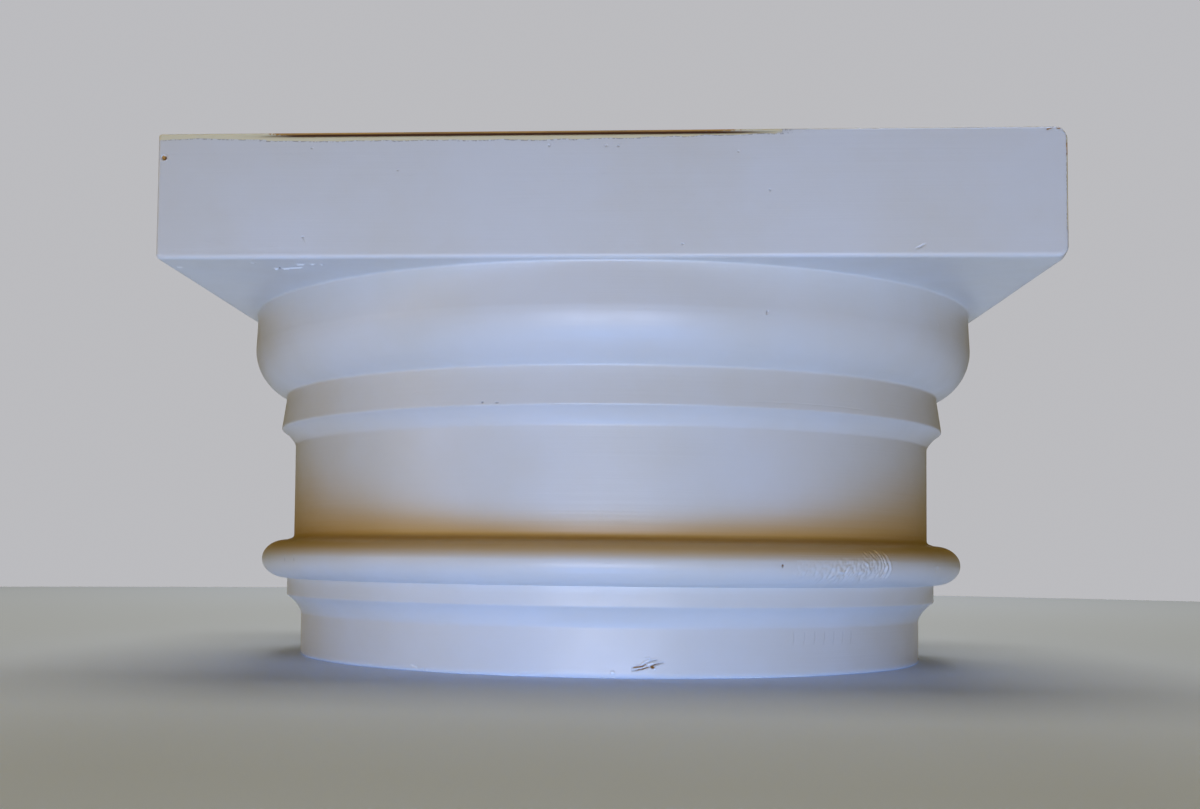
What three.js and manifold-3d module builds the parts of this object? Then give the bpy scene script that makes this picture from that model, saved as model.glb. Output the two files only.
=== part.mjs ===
// Doric column capital in painted wood, turned round under a square slab.
// Millimetres, +Z up, front towards -Y. The origin is the middle of the flat underside.
import * as THREE from "three";
import { mergeVertices } from "three/addons/utils/BufferGeometryUtils.js";
import Module from "manifold-3d";

const wasm = await Module();
wasm.setup();

// Driving dimensions: the height of each member, from the foot to the top.
const bandHeight = 20;
const lowerCavettoHeight = 8.3;
const lowerFilletHeight = 8.2;
const astragalHeight = 19.4;
const neckHeight = 44.7;
const upperCavettoHeight = 7.4;
const upperFilletHeight = 16.3;
const ovoloRise = 21.8;
const ovoloCrownHeight = 17.1;
const abacusThickness = 49.8;

// Driving dimensions: the neck's radius and how far each member stands out from it.
const neckRadius = 154.4;
const bandSetback = 4.1;
const lowerFilletProjection = 2.9;
const astragalShelf = 3.6;
const astragalProjection = 15.1;
const upperFilletFootProjection = 6.8;
const upperFilletHeadProjection = 4.4;
const ovoloProjection = 19.8;
const ovoloCrownTaper = 0.8;

// Driving dimensions: the slab's width and the small forms.
const abacusWidth = 352.2;
const abacusCornerRadius = 2.4;
const abacusArris = 1.4;
const abacusArrisSteps = 2;
const bandArrisRadius = 2;
const astragalShelfDrop = 1.2;
const lowerCavettoSag = 0.9;
const upperCavettoSag = 0.8;

// How finely the round forms are cut.
const turnSides = 96;
const arrisSteps = 3;
const cavettoSteps = 5;
const astragalSteps = 9;
const ovoloSteps = 10;
const cornerSteps = 4;

// Heights of the lines between the members.
const lowerCavettoFoot = bandHeight;
const lowerFilletFoot = lowerCavettoFoot + lowerCavettoHeight;
const astragalFoot = lowerFilletFoot + lowerFilletHeight;
const neckFoot = astragalFoot + astragalHeight;
const upperCavettoFoot = neckFoot + neckHeight;
const upperFilletFoot = upperCavettoFoot + upperCavettoHeight;
const ovoloFoot = upperFilletFoot + upperFilletHeight;
const ovoloCrown = ovoloFoot + ovoloRise;
const soffit = ovoloCrown + ovoloCrownHeight;

// Radii at those lines.
const bandRadius = neckRadius - bandSetback;
const lowerFilletRadius = neckRadius + lowerFilletProjection;
const astragalRadius = neckRadius + astragalProjection;
const upperFilletFootRadius = neckRadius + upperFilletFootProjection;
const upperFilletHeadRadius = neckRadius + upperFilletHeadProjection;
const ovoloCrownRadius = neckRadius + ovoloProjection;
const ovoloHeadRadius = ovoloCrownRadius - ovoloCrownTaper;

const paintedWood = new THREE.MeshStandardMaterial({
  name: "painted_wood",
  color: 0xd3d1cb,
  roughness: 0.42,
  metalness: 0,
});

// Points (radius, height) along part of an ellipse, both ends included.
function ellipseArc(centreRadius, centreHeight, halfWidth, halfHeight, from, to, steps) {
  const points = [];
  for (let i = 0; i <= steps; i += 1) {
    const angle = from + ((to - from) * i) / steps;
    points.push([
      centreRadius + halfWidth * Math.cos(angle),
      centreHeight + halfHeight * Math.sin(angle),
    ]);
  }
  return points;
}

// Points along a hollow between two corners, sagging inwards and up from the straight line.
function cavetto(start, end, sag, steps) {
  const run = end[0] - start[0];
  const rise = end[1] - start[1];
  const chord = Math.hypot(run, rise);
  const points = [];
  for (let i = 0; i <= steps; i += 1) {
    const t = i / steps;
    const depth = 4 * sag * t * (1 - t);
    points.push([
      start[0] + run * t - (rise / chord) * depth,
      start[1] + rise * t + (run / chord) * depth,
    ]);
  }
  return points;
}

function bandProfile() {
  const arrisCentre = bandRadius - bandArrisRadius;
  return [
    ...ellipseArc(arrisCentre, bandArrisRadius, bandArrisRadius, bandArrisRadius,
      -Math.PI / 2, 0, arrisSteps),
    ...cavetto([bandRadius, lowerCavettoFoot], [lowerFilletRadius, lowerFilletFoot],
      lowerCavettoSag, cavettoSteps),
  ];
}

// A full bead on the lower fillet, with a narrow sloping shelf between it and the neck.
function astragalProfile() {
  const beadCentre = neckRadius + astragalShelf;
  const halfHeight = (astragalHeight - astragalShelfDrop) / 2;
  const centreHeight = astragalFoot + halfHeight;
  const halfWidth = astragalRadius - beadCentre;
  return [
    [lowerFilletRadius, astragalFoot],
    ...ellipseArc(beadCentre, centreHeight, halfWidth, halfHeight,
      -Math.PI / 2, Math.PI / 2, astragalSteps),
    [neckRadius, neckFoot],
  ];
}

function upperFilletProfile() {
  return [
    ...cavetto([neckRadius, upperCavettoFoot], [upperFilletFootRadius, upperFilletFoot],
      upperCavettoSag, cavettoSteps),
    [upperFilletHeadRadius, ovoloFoot],
  ];
}

// The ovolo is the one round arc that starts at the fillet's head and ends upright at the crown.
function ovoloProfile() {
  const run = ovoloCrownRadius - upperFilletHeadRadius;
  const arcRadius = (run * run + ovoloRise * ovoloRise) / (2 * run);
  const centreRadius = ovoloCrownRadius - arcRadius;
  const footAngle = Math.atan2(-ovoloRise, arcRadius - run);
  return [
    ...ellipseArc(centreRadius, ovoloCrown, arcRadius, arcRadius, footAngle, 0, ovoloSteps),
    [ovoloHeadRadius, soffit],
  ];
}

// The whole turned section, from the axis at the foot to the axis inside the slab.
function turnedBody() {
  const joinHeight = soffit + abacusThickness / 2;
  const section = [
    [0, 0],
    ...bandProfile(),
    ...astragalProfile(),
    ...upperFilletProfile(),
    ...ovoloProfile(),
    [ovoloHeadRadius, joinHeight],
    [0, joinHeight],
  ];
  const points = section.map(([radius, height]) => new THREE.Vector2(radius, height));
  const geometry = new THREE.LatheGeometry(points, turnSides);
  geometry.rotateX(Math.PI / 2);
  return geometry;
}

// The square slab, with its corners and edges slightly rounded.
function abacus() {
  const half = abacusWidth / 2 - abacusArris;
  const corner = abacusCornerRadius;
  const inner = half - corner;
  const outline = new THREE.Shape();
  outline.moveTo(-inner, -half);
  outline.lineTo(inner, -half);
  outline.absarc(inner, -inner, corner, -Math.PI / 2, 0, false);
  outline.lineTo(half, inner);
  outline.absarc(inner, inner, corner, 0, Math.PI / 2, false);
  outline.lineTo(-inner, half);
  outline.absarc(-inner, inner, corner, Math.PI / 2, Math.PI, false);
  outline.lineTo(-half, -inner);
  outline.absarc(-inner, -inner, corner, Math.PI, Math.PI * 1.5, false);
  const geometry = new THREE.ExtrudeGeometry(outline, {
    depth: abacusThickness - 2 * abacusArris,
    bevelEnabled: true,
    bevelThickness: abacusArris,
    bevelSize: abacusArris,
    bevelSegments: abacusArrisSteps,
    curveSegments: cornerSteps,
  });
  geometry.translate(0, 0, soffit + abacusArris);
  return geometry;
}

function toSolid(geometry) {
  const bare = geometry.clone();
  bare.deleteAttribute("normal");
  bare.deleteAttribute("uv");
  const merged = mergeVertices(bare, 1e-4);
  return new wasm.Manifold(new wasm.Mesh({
    numProp: 3,
    vertProperties: new Float32Array(merged.attributes.position.array),
    triVerts: new Uint32Array(merged.index.array),
  }));
}

function toGeometry(solid) {
  const mesh = solid.getMesh();
  const geometry = new THREE.BufferGeometry();
  geometry.setAttribute("position", new THREE.BufferAttribute(mesh.vertProperties, 3));
  geometry.setIndex(new THREE.BufferAttribute(mesh.triVerts, 1));
  geometry.computeVertexNormals();
  return geometry;
}

const capitalSolid = toSolid(turnedBody()).add(toSolid(abacus()));
const capital = new THREE.Mesh(toGeometry(capitalSolid), paintedWood);
capital.name = "capital";

const part = new THREE.Group();
part.name = "doric_column_capital";
part.add(capital);

export default part;
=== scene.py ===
"""The painted finish of a doric column capital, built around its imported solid.

Lengths in the named values are millimetres unless they say otherwise; Blender's own values are metres.
Angles go round the column from the front, which faces -Y, and grow to the right as seen from there.
"""

import math

import bmesh
import bpy
import numpy as np
from bpy.props import FloatProperty, FloatVectorProperty, PointerProperty
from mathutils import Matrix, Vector, noise


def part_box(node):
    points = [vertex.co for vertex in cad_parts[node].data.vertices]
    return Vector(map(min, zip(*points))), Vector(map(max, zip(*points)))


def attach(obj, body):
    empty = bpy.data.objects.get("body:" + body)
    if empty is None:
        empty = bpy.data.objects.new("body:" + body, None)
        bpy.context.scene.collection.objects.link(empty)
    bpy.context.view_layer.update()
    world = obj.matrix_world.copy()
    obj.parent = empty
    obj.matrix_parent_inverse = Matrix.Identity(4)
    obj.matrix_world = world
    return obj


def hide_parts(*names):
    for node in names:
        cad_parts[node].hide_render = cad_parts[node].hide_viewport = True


bl_info = {
    "name": "Doric capital",
    "version": (1, 0, 0),
    "blender": (4, 5, 0),
    "location": "3D View > Sidebar > Capital",
    "description": "Builds an old painted wooden column capital and its studio",
    "category": "Add Mesh",
}

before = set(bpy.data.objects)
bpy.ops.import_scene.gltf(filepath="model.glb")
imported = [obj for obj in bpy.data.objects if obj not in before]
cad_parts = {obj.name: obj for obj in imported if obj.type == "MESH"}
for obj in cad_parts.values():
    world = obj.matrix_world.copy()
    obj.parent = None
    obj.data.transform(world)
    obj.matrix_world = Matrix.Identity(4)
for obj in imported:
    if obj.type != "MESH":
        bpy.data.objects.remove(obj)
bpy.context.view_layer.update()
NODE = "capital"
BODY = "root"
MM = 0.001

# The turned section, the same as the solid's: heights of the members from the foot up.
BAND_HEIGHT = 20.0
LOWER_CAVETTO_HEIGHT = 8.3
LOWER_FILLET_HEIGHT = 8.2
ASTRAGAL_HEIGHT = 19.4
ASTRAGAL_SHELF_DROP = 1.2
NECK_HEIGHT = 44.7
UPPER_CAVETTO_HEIGHT = 7.4
UPPER_FILLET_HEIGHT = 16.3
OVOLO_RISE = 21.8
OVOLO_CROWN_HEIGHT = 17.1
SOFFIT_HEIGHT = (
    BAND_HEIGHT + LOWER_CAVETTO_HEIGHT + LOWER_FILLET_HEIGHT + ASTRAGAL_HEIGHT + NECK_HEIGHT
    + UPPER_CAVETTO_HEIGHT + UPPER_FILLET_HEIGHT + OVOLO_RISE + OVOLO_CROWN_HEIGHT
)

# The neck's radius and how far the other members stand out from it.
NECK_RADIUS = 154.4
BAND_SETBACK = 4.1
LOWER_FILLET_PROJECTION = 2.9
ASTRAGAL_SHELF = 3.6
ASTRAGAL_PROJECTION = 15.1
UPPER_FILLET_FOOT_PROJECTION = 6.8
UPPER_FILLET_HEAD_PROJECTION = 4.4
OVOLO_PROJECTION = 19.8
OVOLO_CROWN_TAPER = 0.8
LOWER_CAVETTO_SAG = 0.9
UPPER_CAVETTO_SAG = 0.8

# How far the paint softens the corners of the section.
FOOT_ARRIS = 2.0
CAVETTO_FOOT_SOFTNESS = 2.2
FILLET_ARRIS = 0.7
PAINT_COVE = 1.1
NECK_COVE = 1.4

# The slab's corners and edges, and how far its faces lie inside the solid to leave room for relief.
SLAB_CORNER_RADIUS = 1.2
SLAB_LOWER_ARRIS = 1.7
SLAB_UPPER_ARRIS = 0.4
FACE_ALLOWANCE = 0.3

# The rows under the upper arris, and how far clear of an arris they and the ends lie, in its size.
TOP_ROWS = 10
TOP_ROW_SPACING = 0.3
TOP_ROWS_CLEAR = 2.1
ARRIS_CLEAR = 2.2

# The rings across the flat foot and top, as shares of their full reach.
FOOT_RING_SHARES = (0.35, 0.7)
FOOT_EDGE_SHARE = 0.9
TOP_RING_SHARES = (0.985, 0.95, 0.88, 0.75, 0.55, 0.3)

# How fine the mesh is: the columns, the rows, and the edges near marks.
FRONT_STEP_DEG = 1.5
BACK_STEP_DEG = 3.0
FINE_COLUMN_STEP_DEG = 0.5
FINE_COLUMNS_DEG = (7.0, 43.5)
CORNER_STEPS_DEG = (0.0, 0.06, 0.12, 0.18, 0.27, 0.4, 0.6, 0.9, 1.3)
CORNER_CLEAR_DEG = 1.4
ARRIS_STEPS = 4
CAVETTO_STEPS = 7
ASTRAGAL_STEPS = 26
OVOLO_STEPS = 16
SOFFIT_STEPS = 9
SUPPORT = 0.5
ROW_SPACING = 3.0
MARK_SPACING = 0.36
FINEST_SPACING = 0.27
FINE_BEAD_SPACING = 0.5
FINE_BEAD_DEG = (27.0, 46.0)
WORN_SPACING = 1.2
HALVINGS = 6

# The form of a scratch: how far it reaches in widths, how steep its sides are, and its blunt ends.
STROKE_REACH = 1.7
STROKE_STEEPNESS = 1.4
STROKE_TAPER = 4.0
STROKE_BLUNTNESS = 0.35

# The form of a pit, in its half widths: how steep its sides are, and its lip's place and width.
PIT_STEEPNESS = 0.7
PIT_LIP = 1.45
PIT_LIP_WIDTH = 0.35

# How far out from its spot a mark can touch the surface, and how squarely that has to face it.
MARK_REACH = 3.0
MARK_FACING = 0.2

# The ball that a worn corner is cut by, in the corner's own sizes.
WORN_BALL = 1.43

# Raised grain on the bead: the bead's middle over its foot, the grain's end on the right, how far
# round from the front it is laid, and how deep the ticks and the streaks at the left end are.
BEAD_MIDDLE = 9.1
ARCS_END = 130.6
TEXTURE_REACH = 215.0
TICK_DEPTH = 0.55
STREAK_DEPTH = 0.018

# How far up the neck the grime and painted shade reach: in front, and how much more where the neck
# turns away from the light.
GRIME_AND_SHADE_REACH = 5.0
GRIME_AND_SHADE_REACH_AWAY = 37.0
GRIME_AND_SHADE_FREE_TOP = 20.0

# The worn upper arris of the front face: bare wood, a crack under it, then old primer, and a painted
# highlight along the arris on the right.
BARE_STRIP = 0.8
CRACK_BELOW_TOP = 1.15
CRACK_WIDTH = 0.95
CRACK_DEPTH = 0.5
CRACK_REACH = (-131.0, 75.0)
PRIMER_BELOW_TOP = 3.3
PRIMER_REACH = 62.0
PRIMER_THIN_FROM = -20.0
PRIMER_THIN_LEFT = (-115.0, -150.0)
HIGHLIT_EDGE_FROM = (70.0, 110.0)

# Heights above the soffit: the chips by the upper right corner, and bare wood on the right arris.
CORNER_CHIP = 49.3
RUBBED = (38.0, 45.0)

# The depth of the brush marks in the paint.
BRUSH_DEPTH = 0.13


def length(name, description, millimetres):
    """A size that a user can change, shown with the scene's own length unit."""
    return FloatProperty(
        name=name, description=description, default=millimetres * MM, min=0.0, unit="LENGTH",
        precision=5,
    )


def colour(name, description, value):
    """A linear colour that a user can change."""
    return FloatVectorProperty(
        name=name, description=description, default=value, size=3, min=0.0, max=1.0, subtype="COLOR"
    )


CAD_LOW, CAD_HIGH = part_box(NODE)
CAD_WIDTH = (CAD_HIGH.x - CAD_LOW.x) / MM
CAD_HEIGHT = (CAD_HIGH.z - CAD_LOW.z) / MM


class CapitalSizes(bpy.types.PropertyGroup):
    """The sizes of the capital that a maker would change."""

    band_height: length("Band height", "Plain band at the foot", BAND_HEIGHT)
    lower_cavetto_height: length(
        "Lower cavetto height", "Hollow above the band", LOWER_CAVETTO_HEIGHT
    )
    lower_fillet_height: length(
        "Lower fillet height", "Flat strip under the bead", LOWER_FILLET_HEIGHT
    )
    astragal_height: length("Astragal height", "Bead round the neck", ASTRAGAL_HEIGHT)
    neck_height: length("Neck height", "Plain neck", NECK_HEIGHT)
    upper_cavetto_height: length(
        "Upper cavetto height", "Hollow above the neck", UPPER_CAVETTO_HEIGHT
    )
    upper_fillet_height: length(
        "Upper fillet height", "Flared strip under the ovolo", UPPER_FILLET_HEIGHT
    )
    ovolo_rise: length("Ovolo rise", "Rounded part of the ovolo", OVOLO_RISE)
    ovolo_crown_height: length(
        "Ovolo crown height", "Upright part of the ovolo", OVOLO_CROWN_HEIGHT
    )
    neck_radius: length("Neck radius", "Radius of the plain neck", NECK_RADIUS)
    slab_width: length("Slab width", "Width of the square slab", CAD_WIDTH)
    slab_thickness: length(
        "Slab thickness", "Height of the square slab", CAD_HEIGHT - SOFFIT_HEIGHT
    )
    paint_cove: length("Paint cove", "How far paint rounds the inner corners", PAINT_COVE)
    unevenness: length("Unevenness", "How far the hand finish wanders from true", 0.09)


class CapitalColours(bpy.types.PropertyGroup):
    """The colours of the capital's finish and of its studio."""

    paint: colour("Paint", "Main tone of the old paint", (0.74, 0.73, 0.70))
    paint_warm: colour("Yellowed paint", "Tone of the older paint", (0.72, 0.69, 0.62))
    # The grime colour also paints shade: the bead's shadow at the foot of the neck and the dark upper
    # side of the bead.
    grime_and_shade: colour("Grime", "Dust and smoke settled in the hollows", (0.56, 0.325, 0.055))
    # The clean paint colour is also a painted highlight on the front face's upper arris and on raised
    # ridges.
    clean_paint_and_highlight: colour("Fresh paint", "Clean paint laid open by scratches", (0.97, 0.97, 0.94))
    # The primer colour also stands as a painted highlight along the front face's right arris.
    primer: colour("Primer", "Old cream undercoat where the paint is rubbed", (0.82, 0.72, 0.45))
    wood: colour("Bare wood", "Aged wood where the paint is gone", (0.62, 0.33, 0.08))
    end_wood: colour("End wood", "Dull old wood of the top and of the foot", (0.36, 0.26, 0.16))
    wood_dark: colour("Dark wood", "Dark grain and stains in the bare wood", (0.07, 0.022, 0.007))
    floor: colour("Floor", "Studio floor", (0.70, 0.79, 1.0))


def unit_vector(dx, dy):
    """The direction of (dx, dy) and its length."""
    size = math.hypot(dx, dy)
    return dx / size, dy / size, size


def soften(corners):
    """Rounds each corner (radius, height, softness) of a section by its own softness."""
    path = [corners[0][:2]]
    for before, corner, after in zip(corners, corners[1:], corners[2:]):
        x, y, softness = corner
        if softness == 0:
            path.append((x, y))
            continue
        ax, ay, a_length = unit_vector(before[0] - x, before[1] - y)
        bx, by, b_length = unit_vector(after[0] - x, after[1] - y)
        reach = min(softness, 0.48 * a_length, 0.48 * b_length)
        for i in range(ARRIS_STEPS + 1):
            t = i / ARRIS_STEPS
            keep_a, keep_b = (1 - t) ** 2 * reach, t**2 * reach
            path.append((x + ax * keep_a + bx * keep_b, y + ay * keep_a + by * keep_b))
    path.append(corners[-1][:2])
    return path


def fill(path, spacing, support):
    """Adds points along the long straight runs of a path, with one close to each end of a run."""
    filled = [path[0]]
    for start, end in zip(path, path[1:]):
        dx, dy, run = unit_vector(end[0] - start[0], end[1] - start[1])
        stops = []
        if run > 2.5 * spacing:
            count = max(1, round((run - 2 * support) / spacing))
            stops = [support + (run - 2 * support) * i / count for i in range(count + 1)]
        elif run > spacing:
            stops = [run / 2]
        filled += [(start[0] + dx * s, start[1] + dy * s) for s in stops]
        filled.append(end)
    return filled


def hollow(start, end, sag, foot_softness, head_softness):
    """Corners of a cavetto that sags inwards and up from the line between its two ends."""
    dx, dy, run = unit_vector(end[0] - start[0], end[1] - start[1])
    corners = [(start[0], start[1], foot_softness)]
    for i in range(1, CAVETTO_STEPS):
        t = i / CAVETTO_STEPS
        depth = 4 * sag * t * (1 - t)
        x = start[0] + dx * run * t - dy * depth
        y = start[1] + dy * run * t + dx * depth
        corners.append((x, y, 0))
    corners.append((end[0], end[1], head_softness))
    return corners


def bulge(centre, half_width, half_height, start, end, steps):
    """Points along part of an ellipse, both ends included, with no softening."""
    points = []
    for i in range(steps + 1):
        angle = start + (end - start) * i / steps
        points.append(
            (centre[0] + half_width * math.cos(angle), centre[1] + half_height * math.sin(angle), 0)
        )
    return points


class Section:
    """The heights and radii of the members, in metres, worked out from the sizes."""

    def __init__(self, sizes):
        """Stacks the members' heights and sets out their radii from the neck."""
        self.cavetto_foot = sizes.band_height
        self.fillet_foot = self.cavetto_foot + sizes.lower_cavetto_height
        self.bead_foot = self.fillet_foot + sizes.lower_fillet_height
        self.neck_foot = self.bead_foot + sizes.astragal_height
        self.neck_head = self.neck_foot + sizes.neck_height
        self.upper_fillet_foot = self.neck_head + sizes.upper_cavetto_height
        self.ovolo_foot = self.upper_fillet_foot + sizes.upper_fillet_height
        self.crown = self.ovolo_foot + sizes.ovolo_rise
        self.soffit = self.crown + sizes.ovolo_crown_height
        self.top = self.soffit + sizes.slab_thickness
        self.half_slab = sizes.slab_width / 2 - FACE_ALLOWANCE * MM
        self.neck = sizes.neck_radius
        self.band = self.neck - BAND_SETBACK * MM
        self.lower_fillet = self.neck + LOWER_FILLET_PROJECTION * MM
        self.bead_centre = self.neck + ASTRAGAL_SHELF * MM
        self.bead = self.neck + ASTRAGAL_PROJECTION * MM
        self.upper_fillet_low = self.neck + UPPER_FILLET_FOOT_PROJECTION * MM
        self.upper_fillet_high = self.neck + UPPER_FILLET_HEAD_PROJECTION * MM
        self.ovolo = self.neck + OVOLO_PROJECTION * MM
        self.ovolo_head = self.ovolo - OVOLO_CROWN_TAPER * MM
        self.cove = sizes.paint_cove

    def turned_corners(self):
        """Corners of the turned part, from the flat foot to the soffit."""
        bead_half_height = (self.neck_foot - self.bead_foot - ASTRAGAL_SHELF_DROP * MM) / 2
        bead_middle = (self.bead_centre, self.bead_foot + bead_half_height)
        run = self.ovolo - self.upper_fillet_high
        rise = self.crown - self.ovolo_foot
        ovolo_radius = (run * run + rise * rise) / (2 * run)
        ovolo_start = math.atan2(-rise, ovolo_radius - run)
        corners = [(self.band * FOOT_EDGE_SHARE, 0, 0), (self.band, 0, FOOT_ARRIS * MM)]
        corners += hollow(
            (self.band, self.cavetto_foot), (self.lower_fillet, self.fillet_foot),
            LOWER_CAVETTO_SAG * MM, CAVETTO_FOOT_SOFTNESS * MM, FILLET_ARRIS * MM,
        )
        corners.append((self.lower_fillet, self.bead_foot, self.cove))
        corners += bulge(
            bead_middle, self.bead - self.bead_centre, bead_half_height,
            -math.pi / 2, math.pi / 2, ASTRAGAL_STEPS,
        )
        corners.append((self.neck, self.neck_foot, NECK_COVE * MM))
        corners += hollow(
            (self.neck, self.neck_head), (self.upper_fillet_low, self.upper_fillet_foot),
            UPPER_CAVETTO_SAG * MM, CAVETTO_FOOT_SOFTNESS * MM, FILLET_ARRIS * MM,
        )
        corners.append((self.upper_fillet_high, self.ovolo_foot, self.cove))
        corners += bulge(
            (self.ovolo - ovolo_radius, self.crown), ovolo_radius, ovolo_radius,
            ovolo_start, 0, OVOLO_STEPS,
        )[1:]
        corners.append((self.ovolo_head, self.soffit, self.cove))
        corners.append((self.ovolo_head + self.cove * 2, self.soffit, 0))
        return corners

    def turned_path(self):
        """The softened section of the turned part, ending where the cove meets the soffit."""
        path = soften(self.turned_corners())[:-1]
        return fill(path, ROW_SPACING * MM, SUPPORT * MM)

    def slab_path(self):
        """(half width, height) up the slab's side, from the soffit's edge to the top's edge."""
        lower = SLAB_LOWER_ARRIS * MM
        upper = SLAB_UPPER_ARRIS * MM
        corners = [
            (self.half_slab - ARRIS_CLEAR * lower, self.soffit, 0),
            (self.half_slab, self.soffit, lower),
        ]
        first_row = self.top - TOP_ROWS_CLEAR * upper
        for i in reversed(range(TOP_ROWS)):
            corners.append((self.half_slab, first_row - i * TOP_ROW_SPACING * MM, 0))
        corners.append((self.half_slab, self.top, upper))
        corners.append((self.half_slab - ARRIS_CLEAR * upper, self.top, 0))
        return fill(soften(corners)[1:-1], ROW_SPACING * MM, SUPPORT * MM)

    def radius_at(self, height):
        """The outermost radius of the turned part at a height."""
        path = self.turned_path()
        radii = [0.0]
        for (r0, z0), (r1, z1) in zip(path, path[1:]):
            if min(z0, z1) <= height <= max(z0, z1) and z0 != z1:
                radii.append(r0 + (r1 - r0) * (height - z0) / (z1 - z0))
        return max(radii)


def column_angles():
    """The angles of the mesh's columns, in radians: fine in front, finest at the slab's corners."""
    first, last = FINE_COLUMNS_DEG
    plain = []
    for start, end, step in (
        (-90, first, FRONT_STEP_DEG), (first, last, FINE_COLUMN_STEP_DEG),
        (last, 90, FRONT_STEP_DEG), (90, 270, BACK_STEP_DEG),
    ):
        steps = round((end - start) / step)
        plain += [start + (end - start) * i / steps for i in range(steps)]
    corners = (-45, 45, 135, 225)
    angles = [a for a in plain if min(abs(a - c) for c in corners) > CORNER_CLEAR_DEG]
    for corner in corners:
        angles += [corner + s for s in CORNER_STEPS_DEG]
        angles += [corner - s for s in CORNER_STEPS_DEG if s > 0]
    return np.radians(np.array(sorted(angles)))


def square_reach(angles, half, corner):
    """How far a square with rounded corners reaches from its middle in each direction."""
    east, north = np.abs(np.sin(angles)), np.abs(np.cos(angles))
    flat = half / np.maximum(east, north)
    inner = half - corner
    along = inner * (east + north)
    under_root = along**2 - 2 * inner**2 + corner**2
    rounded = along + np.sqrt(np.maximum(under_root, 0))
    at_corner = np.minimum(east, north) * flat > inner
    return np.where(at_corner, rounded, flat)


def capital_rings(section, angles):
    """The reach from the axis of every column, ring by ring, with each ring's height."""
    rings = []
    for share in FOOT_RING_SHARES:
        rings.append((np.full_like(angles, section.band * share), 0.0))
    turned = section.turned_path()
    rings += [(np.full_like(angles, r), z) for r, z in turned]
    slab = section.slab_path()
    corner = SLAB_CORNER_RADIUS * MM
    cove_end = rings[-1][0]
    soffit_edge = square_reach(angles, slab[0][0], corner)
    for i in range(1, SOFFIT_STEPS):
        share = i / SOFFIT_STEPS
        rings.append((cove_end + (soffit_edge - cove_end) * share, section.soffit))
    rings += [(square_reach(angles, half, corner), z) for half, z in slab]
    edge_half = slab[-1][0]
    for share in TOP_RING_SHARES:
        rings.append((square_reach(angles, edge_half * share, corner * share), section.top))
    return rings


def ring_mesh(section):
    """The whole capital as one closed mesh of rings round the axis."""
    angles = column_angles()
    rings = capital_rings(section, angles)
    columns = len(angles)
    points = [(0.0, 0.0, 0.0)]
    for reach, z in rings:
        points += zip(reach * np.sin(angles), -reach * np.cos(angles), np.full(columns, z))
    points.append((0.0, 0.0, section.top))
    faces = [(0, 1 + (i + 1) % columns, 1 + i) for i in range(columns)]
    for ring in range(len(rings) - 1):
        low = 1 + ring * columns
        high = low + columns
        for i in range(columns):
            j = (i + 1) % columns
            faces.append((low + i, low + j, high + j, high + i))
    last = 1 + (len(rings) - 1) * columns
    faces += [(last + i, last + (i + 1) % columns, len(points) - 1) for i in range(columns)]
    mesh = bpy.data.meshes.new("capital_finish")
    mesh.from_pydata([tuple(map(float, p)) for p in points], [], faces)
    mesh.validate()
    return mesh


class Spot:
    """A place on the surface with its own flat axes: right, up along the surface, and out."""

    def __init__(self, centre, right, out):
        """Takes the centre in metres and two unit directions, and works out the third."""
        self.centre = Vector(centre)
        self.right = Vector(right).normalized()
        self.out = Vector(out).normalized()
        self.up = self.out.cross(self.right).normalized()

    def flatten(self, points):
        """Millimetres right of, above and out from the spot, for an array of points."""
        away = (points - np.array(self.centre)) / MM
        return away @ np.array(self.right), away @ np.array(self.up), away @ np.array(self.out)


def turned_spot(section, degrees, height_mm):
    """The spot on the turned part at an angle and a height."""
    height = height_mm * MM
    nudge = 0.3 * MM
    radius = section.radius_at(height)
    slope = (section.radius_at(height + nudge) - section.radius_at(height - nudge)) / (2 * nudge)
    slope = max(-3.0, min(3.0, slope))
    angle = math.radians(degrees)
    right = (math.cos(angle), math.sin(angle), 0)
    out = Vector((math.sin(angle), -math.cos(angle), -slope))
    centre = (radius * math.sin(angle), -radius * math.cos(angle), height)
    return Spot(centre, right, out)


def front_spot(section, x_mm, above_soffit_mm):
    """The spot on the slab's front face."""
    centre = (x_mm * MM, -section.half_slab, section.soffit + above_soffit_mm * MM)
    return Spot(centre, (1, 0, 0), (0, -1, 0))


def soffit_spot(section, x_mm, behind_front_mm):
    """The spot on the slab's underside, with up pointing towards the front edge."""
    centre = (x_mm * MM, -section.half_slab + behind_front_mm * MM, section.soffit)
    return Spot(centre, (1, 0, 0), (0, 0, -1))


def distance_to_line(x, y, line):
    """The distance from each (x, y) to a line through points, and its place along it, 0 to 1."""
    best = np.full(np.shape(x), 1e9)
    along = np.zeros(np.shape(x))
    pieces = len(line) - 1
    for i, ((x0, y0), (x1, y1)) in enumerate(zip(line, line[1:])):
        dx, dy = x1 - x0, y1 - y0
        t = np.clip(((x - x0) * dx + (y - y0) * dy) / (dx * dx + dy * dy), 0, 1)
        gap = np.hypot(x - x0 - dx * t, y - y0 - dy * t)
        closer = gap < best
        best = np.where(closer, gap, best)
        along = np.where(closer, (i + t) / pieces, along)
    return best, along


def cover(mask, near, amount):
    """Raises a mask to an amount at the nearby points, where it is lower."""
    mask[near] = np.maximum(mask[near], amount)


class Mark:
    """Something that dents or raises the surface near a spot, and may change its colour."""

    def __init__(self, spot, width, depth, bare=0.0, dark=0.0, burr=0.0, clean_paint_and_highlight=0.0):
        """A positive depth cuts in and a negative one stands out; burr raises the lips."""
        self.spot = spot
        self.width = width
        self.depth = depth
        self.bare = bare
        self.dark = dark
        self.burr = burr
        self.clean_paint_and_highlight = clean_paint_and_highlight

    def leave(self, finish, near, dip, lip):
        """Adds the dip and its lip to the relief of the nearby points, and the colours to them."""
        finish.relief[near] += (self.burr * lip - self.depth * dip) * MM
        finish.stain(near, dip, self.bare, self.dark, self.clean_paint_and_highlight)


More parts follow.
